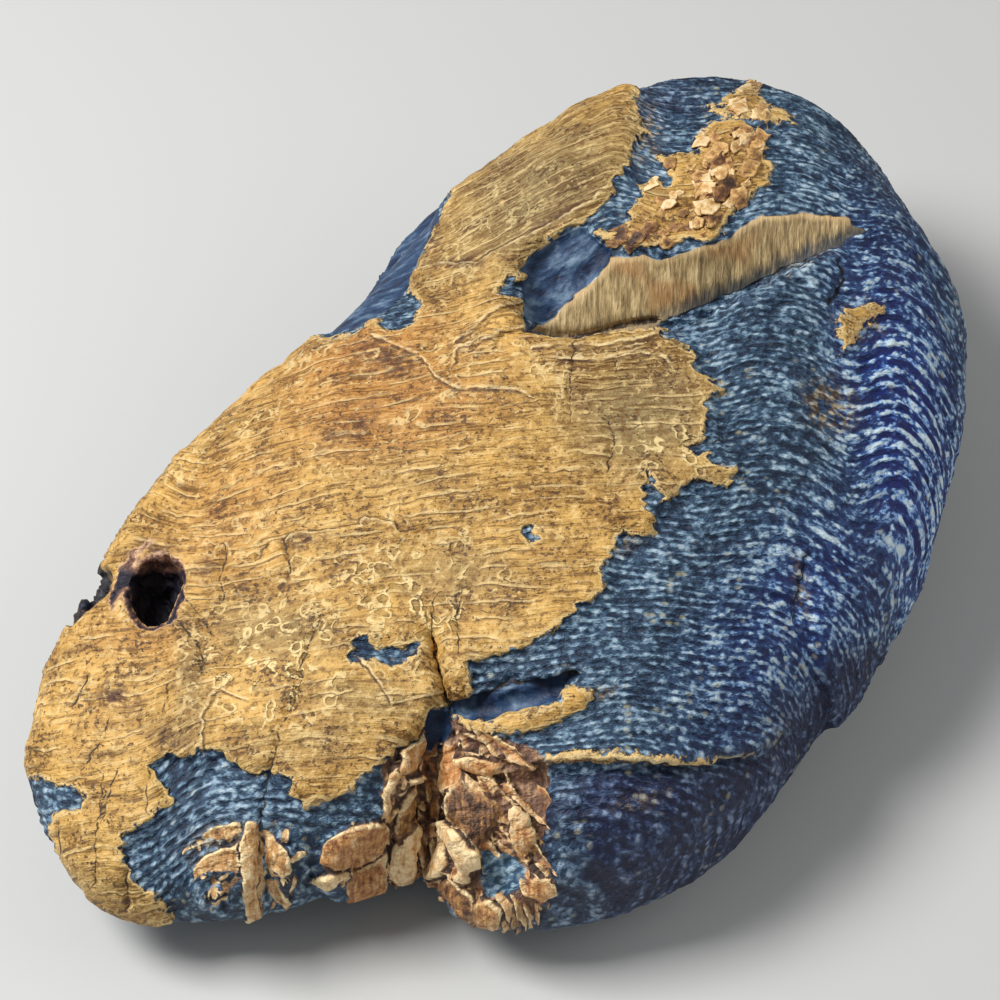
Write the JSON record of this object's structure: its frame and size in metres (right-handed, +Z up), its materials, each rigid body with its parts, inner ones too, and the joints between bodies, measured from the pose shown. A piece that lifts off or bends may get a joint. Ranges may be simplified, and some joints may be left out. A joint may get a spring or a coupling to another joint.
{
  "type": "petrified wood",
  "caption": "Water-worn cobble of silicified wood with a crusted upper face, a torn trough, a knot hole and a broken corner, lying on a small flat spot.",
  "frame": {"origin": "on the surface the cobble lies on, under the middle of its box", "axes": "+X along the cobble to its thick rounded end, +Y across it to its far side, +Z up from the flat spot it lies on"},
  "size_m": [0.1718, 0.107, 0.0579],
  "materials": {
    "silicified_wood": "weathered, matt with a faint waxy sheen"
  },
  "bodies": {
    "root": {"petrified_wood": "silicified_wood"}
  },
  "joints": []
}
